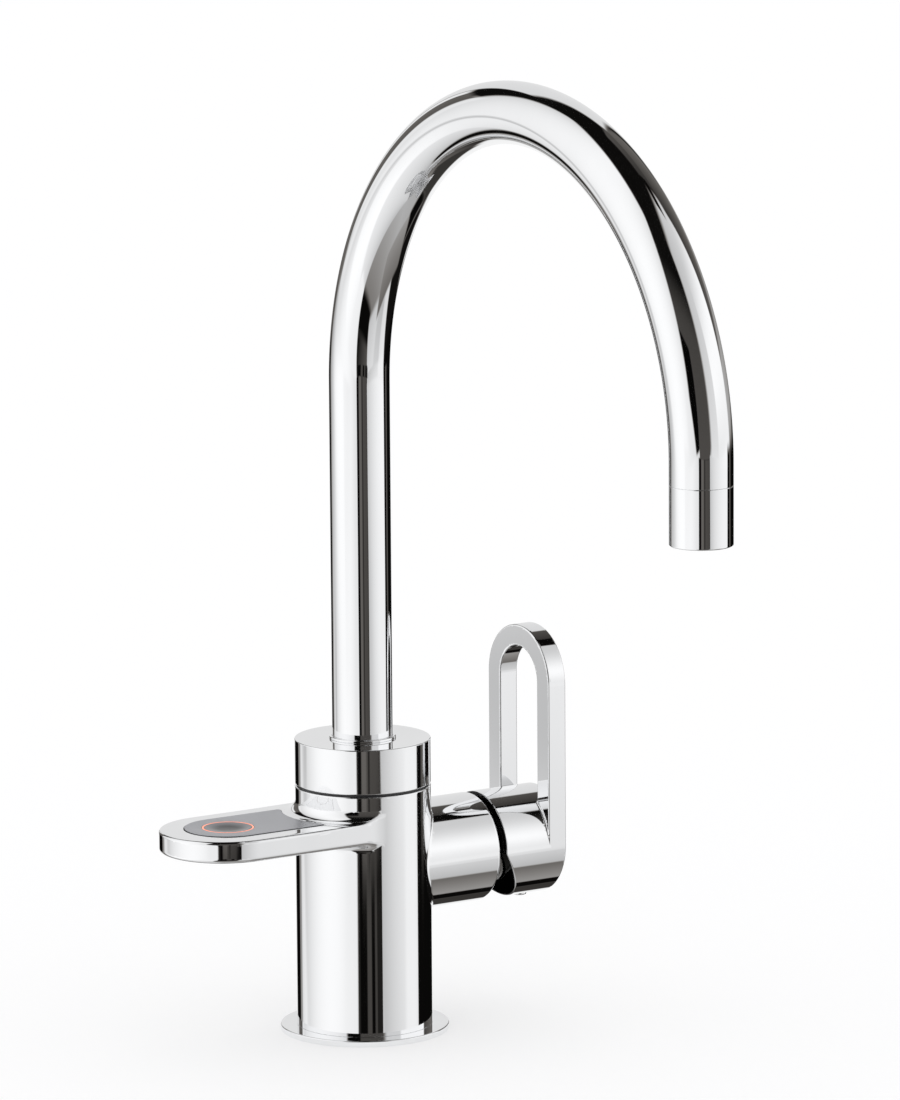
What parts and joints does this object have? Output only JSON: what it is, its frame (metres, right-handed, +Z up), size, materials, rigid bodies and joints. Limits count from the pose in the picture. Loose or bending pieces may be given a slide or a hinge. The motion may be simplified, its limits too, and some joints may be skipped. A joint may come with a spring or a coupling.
{
  "type": "filter kitchen mixer tap",
  "caption": "Chrome kitchen mixer tap with an arched swivel spout, a looped side lever and a lit touch control on a side arm for filtered water.",
  "frame": {"origin": "centre of the flange's underside, on the worktop and on the axis of the shank thread", "axes": "+Z up along the spout's swivel axis, spout towards -Y, lever on +X, touch control on -X"},
  "size_m": [0.158, 0.2573, 0.3578],
  "materials": {
    "chrome": "polished",
    "brass": "machined",
    "rubber": "matte",
    "steel": "machined",
    "ivory_plastic": "moulded",
    "blue_plastic": "moulded",
    "black_plastic": "moulded",
    "ceramic": "lapped",
    "panel": "satin metallic",
    "lit_ring": "lit",
    "circuit_board": "solder mask",
    "milky_plastic": "milky"
  },
  "bodies": {
    "tap_base": {"base_flange": "chrome", "base_gasket": "rubber", "tap_body": "chrome", "inlet_block": "brass", "hot_check_valve": "ivory_plastic", "cold_check_valve": "ivory_plastic", "filtered_tube_seal": "rubber", "cable_grommet": "rubber", "swivel_washer": "black_plastic", "spout_retaining_screw": "steel", "control_panel": "panel", "panel_gasket": "rubber", "led_ring": "lit_ring", "control_board": "circuit_board", "tact_switch": "black_plastic", "board_screws": "steel", "cartridge_seals": "rubber", "cartridge_base": "ivory_plastic", "cartridge_housing": "ivory_plastic", "fixed_ceramic_disc": "ceramic", "cartridge_nut": "brass", "dome_cover": "black_plastic"},
    "spout": {"spout_tube": "chrome", "spout_collar": "chrome", "spout_spigot": "brass", "spout_o_rings": "rubber", "spout_foot_ring": "chrome", "inner_water_tube": "milky_plastic", "outlet_bush": "brass", "nozzle_sleeve": "chrome", "aerator_insert": "ivory_plastic", "aerator_seal": "rubber", "filtered_nozzle": "brass"},
    "temperature_guide": {"spindle_guide": "blue_plastic", "pivot_pin": "steel"},
    "lever": {"lever_handle": "chrome", "cartridge_stem": "brass", "lever_grub_screw": "steel", "screw_plug": "chrome"},
    "valve_disc": {"moving_ceramic_disc": "ceramic", "disc_carrier": "blue_plastic"},
    "button": {"touch_button": "panel"}
  },
  "joints": [
    {"name": "spout_swivel", "type": "hinge", "parent": "tap_base", "child": "spout", "pos_m": [0, 0, 0.09], "axis": [0, 0, 1], "range_deg": [-110, 110]},
    {"name": "lever_temperature", "type": "hinge", "parent": "tap_base", "child": "temperature_guide", "pos_m": [0.046, 0, 0.062], "axis": [1, 0, 0], "range_deg": [-45, 45]},
    {"name": "lever_flow", "type": "hinge", "parent": "temperature_guide", "child": "lever", "pos_m": [0.046, 0, 0.062], "axis": [0, 1, 0], "range_deg": [0, 25]},
    {"name": "disc_slide", "type": "slide", "parent": "temperature_guide", "child": "valve_disc", "axis": [0, 0, 1], "range_m": [0, 0.00685]},
    {"name": "button_press", "type": "slide", "parent": "tap_base", "child": "button", "axis": [0, 0, -1], "range_m": [0, 0.0005], "stiffness_N_per_m": 600}
  ],
  "couplings": [
    {"joint": "disc_slide", "follows": "lever_flow", "m_per_rad": 0.01569}
  ]
}
